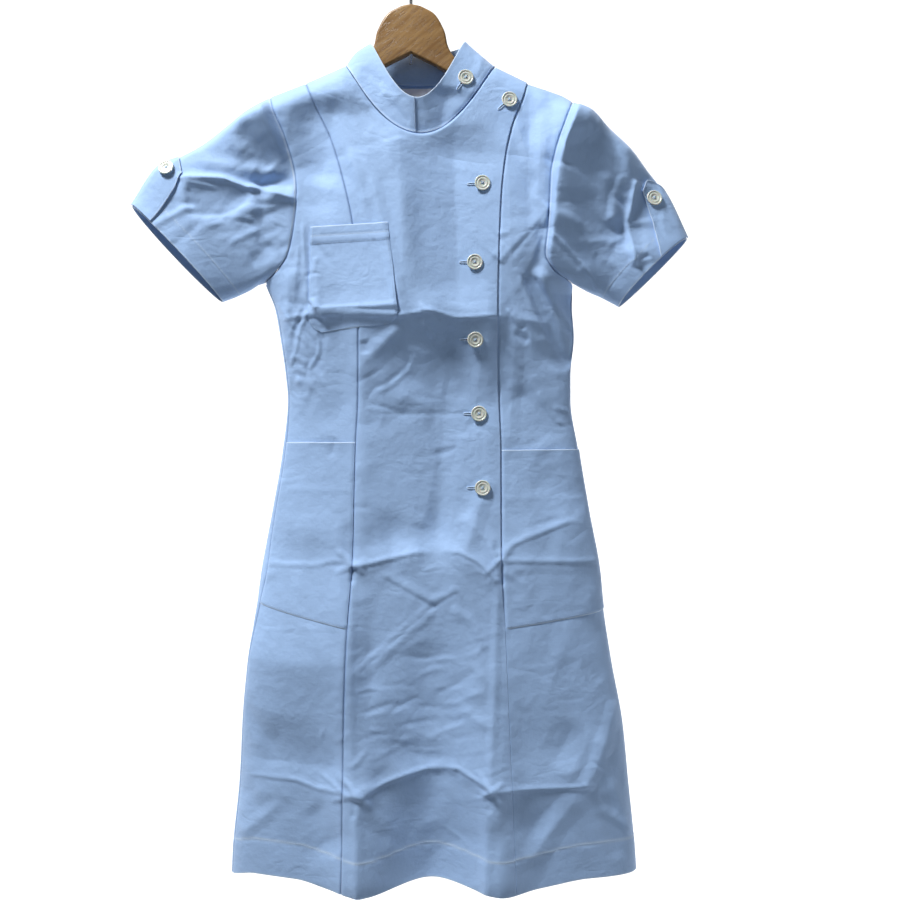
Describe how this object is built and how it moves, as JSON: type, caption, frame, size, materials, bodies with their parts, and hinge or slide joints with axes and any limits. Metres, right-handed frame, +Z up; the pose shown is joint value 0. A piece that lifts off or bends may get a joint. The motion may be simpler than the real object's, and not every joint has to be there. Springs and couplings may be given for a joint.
{
  "type": "nurse uniform dress on a hanger",
  "caption": "Short-sleeved light-blue nurse uniform dress with a stand collar and a side-buttoned front, hanging on a wooden hanger with a steel hook.",
  "frame": {"origin": "the inside top of the hanger's hook, where it bears on a rail", "axes": "+Z up, +Y towards the back of the dress, +X to the right of somebody who looks at the front"},
  "size_m": [0.6569, 0.1474, 1.1169],
  "materials": {
    "cloth": "light-blue polyester and cotton twill, matt with a faint sheen, pressed creases",
    "label": "white woven tape, bare",
    "button": "off-white pearl polyester, polished",
    "wood": "oak, sanded, clear satin varnish",
    "steel": "bright nickel-plated wire"
  },
  "bodies": {
    "root": {"front_overlap": "cloth", "right_side_front": "cloth", "left_side_front": "cloth", "back": "cloth", "right_sleeve": "cloth", "left_sleeve": "cloth", "right_sleeve_tab": "cloth", "left_sleeve_tab": "cloth", "collar": "cloth", "collar_overlap": "cloth", "chest_pocket": "cloth", "right_hip_pocket": "cloth", "left_hip_pocket": "cloth", "neck_label": "label", "button_collar": "button", "button_shoulder": "button", "button_front_1": "button", "button_front_2": "button", "button_front_3": "button", "button_front_4": "button", "button_front_5": "button", "button_right_tab": "button", "button_left_tab": "button", "hanger_wood": "wood", "hanger_hook": "steel"}
  },
  "joints": []
}
